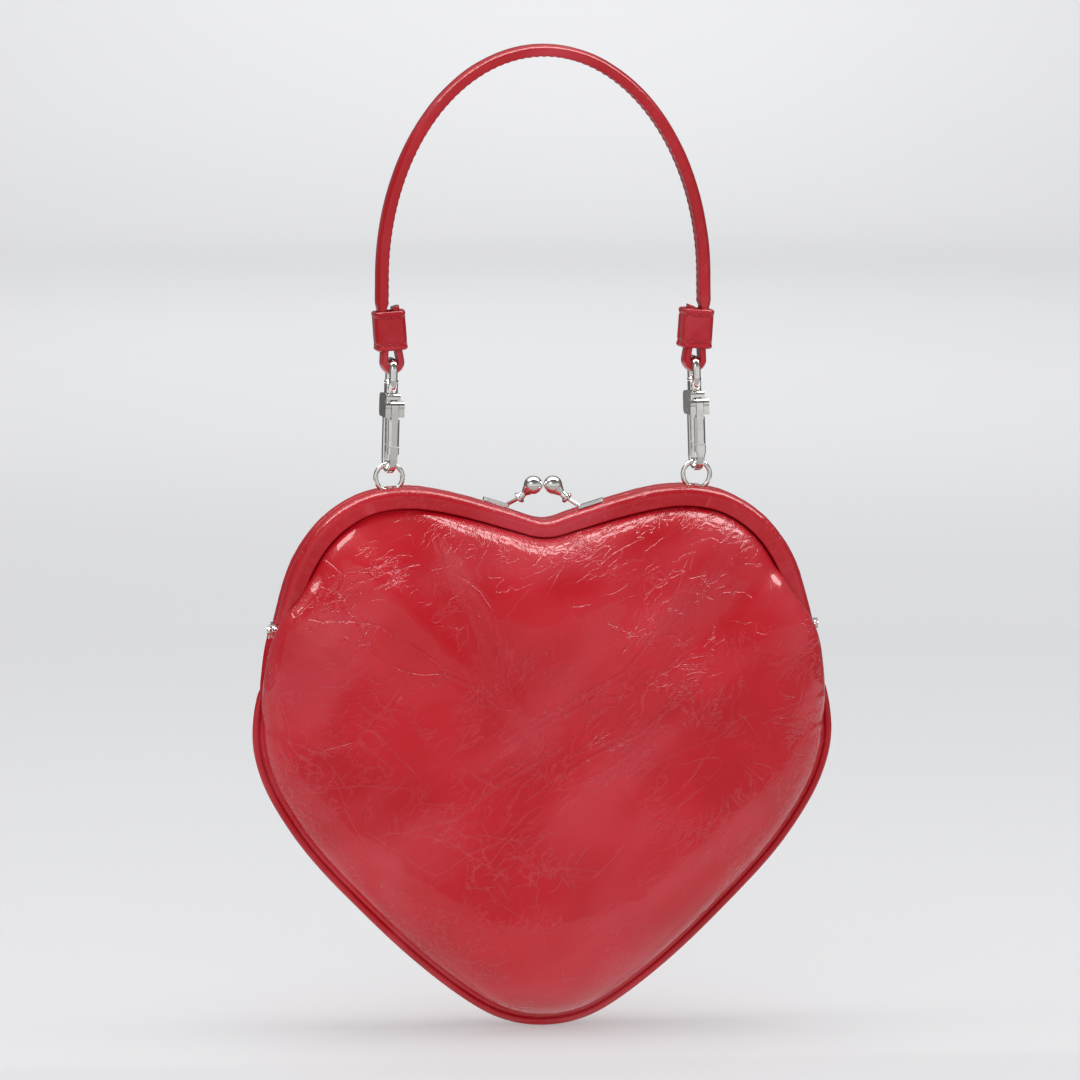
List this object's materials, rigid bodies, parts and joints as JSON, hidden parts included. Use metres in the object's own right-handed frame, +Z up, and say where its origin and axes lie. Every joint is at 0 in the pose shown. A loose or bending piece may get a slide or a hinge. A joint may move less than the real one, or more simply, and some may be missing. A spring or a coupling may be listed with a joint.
{
  "type": "heart shaped purse",
  "caption": "Heart-shaped leather evening purse with a covered kiss-lock frame, piped edge, ball clasp, rings, swivel snap hooks and a detachable hooped handle.",
  "frame": {"origin": "under the apex of the handle arch, where a hand carries it", "axes": "+X to the right seen from the front, front faces -Y, +Z up, with the purse hanging from its handle"},
  "size_m": [0.2124, 0.064, 0.3579],
  "materials": {
    "red_leather_body": "crinkled patent gloss",
    "red_leather_frame": "smooth patent gloss",
    "red_leather_strap": "smooth semi-gloss",
    "red_leather_piping": "gloss",
    "lining_cloth": "plain twill",
    "nickel": "polished nickel plate",
    "steel": "plated steel"
  },
  "bodies": {
    "handle": {"handle_strap": "red_leather_strap", "left_keeper": "red_leather_strap", "right_keeper": "red_leather_strap", "left_snap_eye": "nickel", "right_snap_eye": "nickel"},
    "bag": {"back_frame_channel": "steel", "back_frame_cover": "red_leather_frame", "back_clasp": "nickel", "left_hinge_pin": "nickel", "right_hinge_pin": "nickel", "left_ring_lug": "nickel", "right_ring_lug": "nickel", "front_panel": "red_leather_body", "back_panel": "red_leather_body", "left_gusset": "red_leather_body", "right_gusset": "red_leather_body", "piping": "red_leather_piping", "front_lining": "lining_cloth", "back_lining": "lining_cloth"},
    "front_frame": {"front_frame_channel": "steel", "front_frame_cover": "red_leather_frame", "front_clasp": "nickel"},
    "left_hook": {"left_snap_hook": "nickel", "left_gate_pin": "steel", "left_gate_spring": "steel"},
    "left_gate": {"left_snap_gate": "nickel"},
    "left_ring": {"left_ring": "nickel"},
    "right_hook": {"right_snap_hook": "nickel", "right_gate_pin": "steel", "right_gate_spring": "steel"},
    "right_gate": {"right_snap_gate": "nickel"},
    "right_ring": {"right_ring": "nickel"}
  },
  "joints": [
    {"name": "bag_swing", "type": "hinge", "parent": "handle", "child": "bag", "pos_m": [0, 0, -0.14758], "axis": [1, 0, 0], "range_deg": [-90, 90]},
    {"name": "frame_open", "type": "hinge", "parent": "bag", "child": "front_frame", "pos_m": [0, 0, -0.2082], "axis": [1, 0, 0], "range_deg": [0, 60], "deforming": ["front_panel", "front_lining", "left_gusset", "right_gusset"]},
    {"name": "left_swivel", "type": "hinge", "parent": "handle", "child": "left_hook", "pos_m": [-0.0562, 0, -0.14758], "axis": [0.0279, 0, 0.9996], "range_deg": [-30, 6]},
    {"name": "left_gate_press", "type": "hinge", "parent": "left_hook", "child": "left_gate", "pos_m": [-0.05488, -0.00342, -0.1265], "axis": [0.9778, 0.2079, -0.0273], "range_deg": [0, 22], "stiffness_Nm_per_rad": 0.02, "springref_deg": -8.59},
    {"name": "left_ring_tilt", "type": "hinge", "parent": "bag", "child": "left_ring", "pos_m": [-0.0562, 0, -0.15738], "axis": [1, 0, 0], "range_deg": [-2.5, 2.5]},
    {"name": "right_swivel", "type": "hinge", "parent": "handle", "child": "right_hook", "pos_m": [0.0562, 0, -0.14758], "axis": [-0.0279, 0, 0.9996], "range_deg": [-30, 6]},
    {"name": "right_gate_press", "type": "hinge", "parent": "right_hook", "child": "right_gate", "pos_m": [0.05634, -0.00342, -0.12646], "axis": [0.9778, 0.2079, 0.0273], "range_deg": [0, 22], "stiffness_Nm_per_rad": 0.02, "springref_deg": -8.59},
    {"name": "right_ring_tilt", "type": "hinge", "parent": "bag", "child": "right_ring", "pos_m": [0.0562, 0, -0.15738], "axis": [1, 0, 0], "range_deg": [-2.5, 2.5]}
  ]
}
